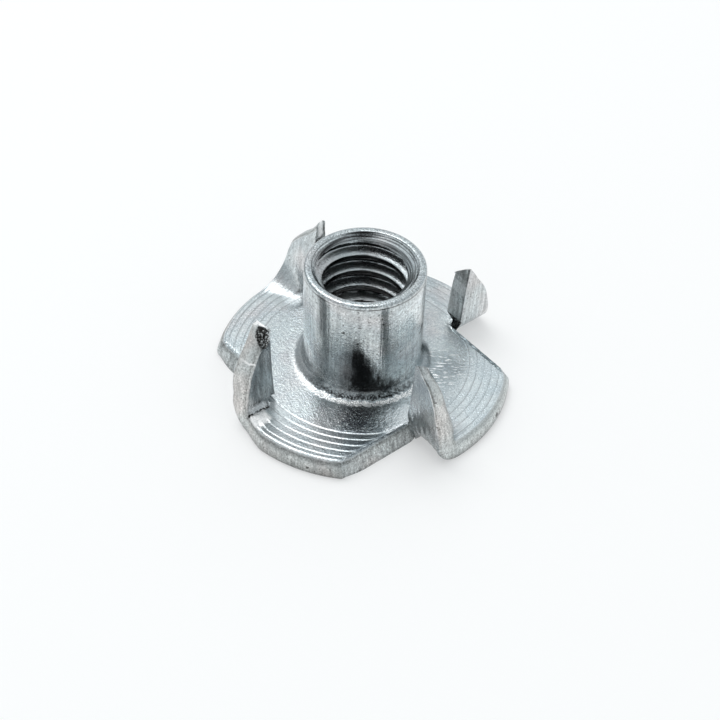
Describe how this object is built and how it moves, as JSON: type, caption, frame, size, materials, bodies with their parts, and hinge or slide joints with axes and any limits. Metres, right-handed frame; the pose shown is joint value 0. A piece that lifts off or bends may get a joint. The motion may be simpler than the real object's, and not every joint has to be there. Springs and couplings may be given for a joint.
{
  "type": "tee nut",
  "caption": "Pronged tee nut: a round flange with coined rings, folded-up prongs set in a pinwheel, and a short internally threaded barrel.",
  "frame": {"origin": "centre of the flange's flat underside, on the barrel's axis", "axes": "+Z along the barrel's axis, from the flange towards the mouth; +X and -Y are the flange plane's, with the fold of the first prong 40 degrees round from +X towards +Y"},
  "size_m": [0.019, 0.019, 0.0089],
  "materials": {
    "zinc_plated_steel": "bright zinc plating over drawn and stamped sheet steel, satin with a faint blue cast"
  },
  "bodies": {
    "root": {"tee_nut": "zinc_plated_steel"}
  },
  "joints": []
}
